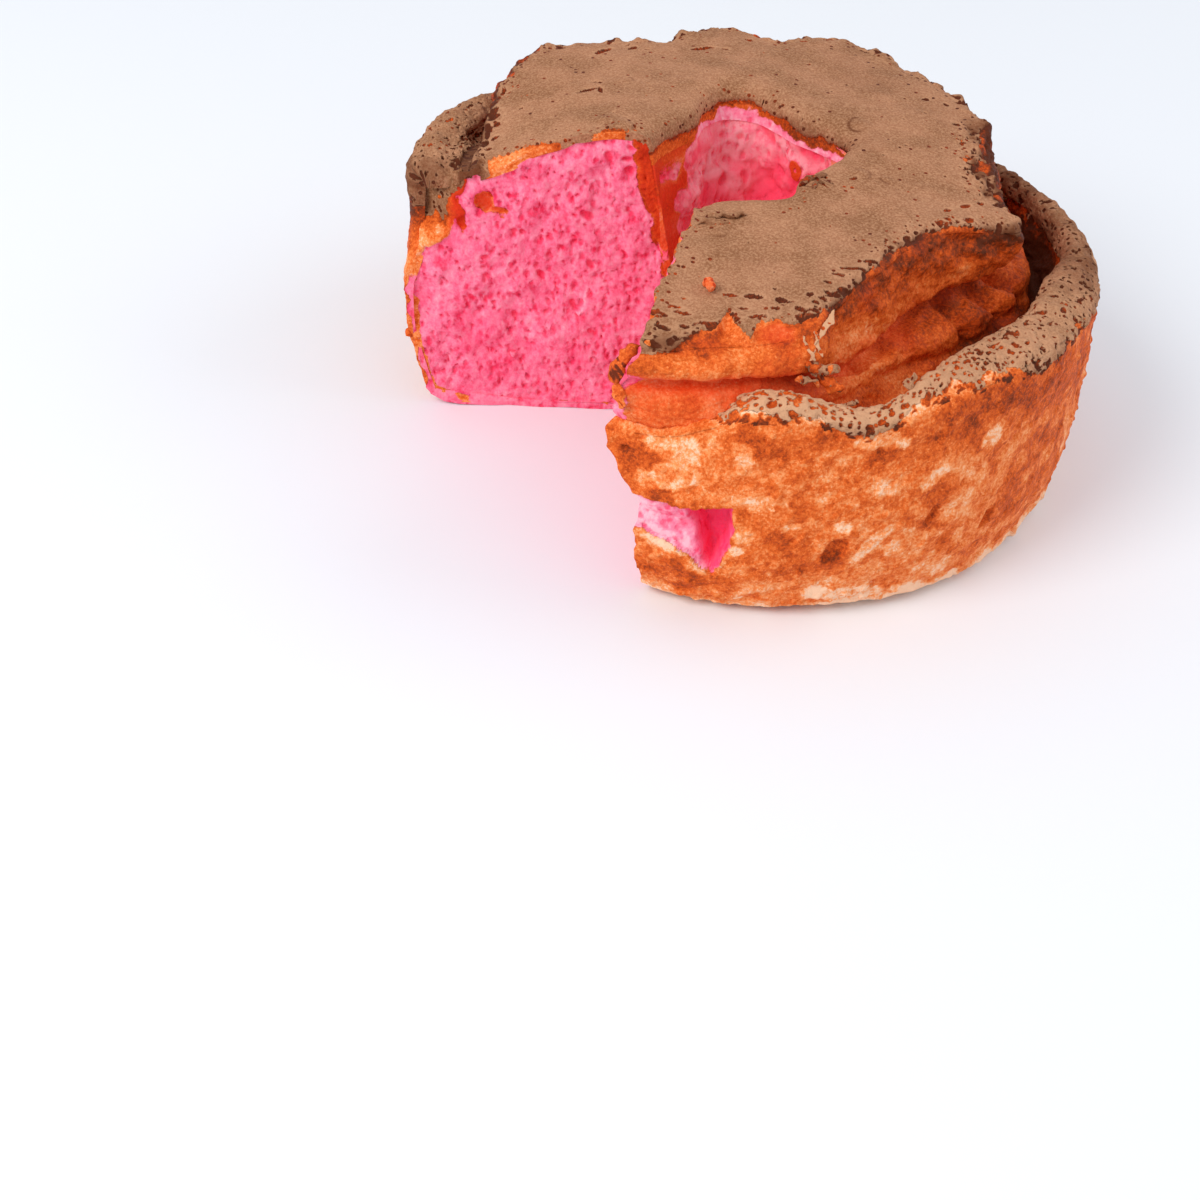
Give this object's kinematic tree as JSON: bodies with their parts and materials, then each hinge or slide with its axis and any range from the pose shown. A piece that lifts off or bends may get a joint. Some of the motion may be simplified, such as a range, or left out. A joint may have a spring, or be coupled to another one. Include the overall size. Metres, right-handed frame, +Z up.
{
  "type": "angel food cake",
  "caption": "Tall ring cake baked in a tube pan, with a cracked tan top, golden brown wall and pink crumb, one wedge cut out and a piece torn from its lower edge.",
  "frame": {"origin": "middle of the cake's footprint, on the surface that it stands on", "axes": "+Z up, towards the risen top; -Y is the side whose wall faces the viewer, and the missing wedge opens towards -X and -Y"},
  "size_m": [0.2446, 0.245, 0.111],
  "materials": {
    "cake": "matt baked crust, tan on top and golden brown on the wall, with a soft pink crumb where it is cut"
  },
  "bodies": {
    "root": {"cake": "cake"}
  },
  "joints": []
}
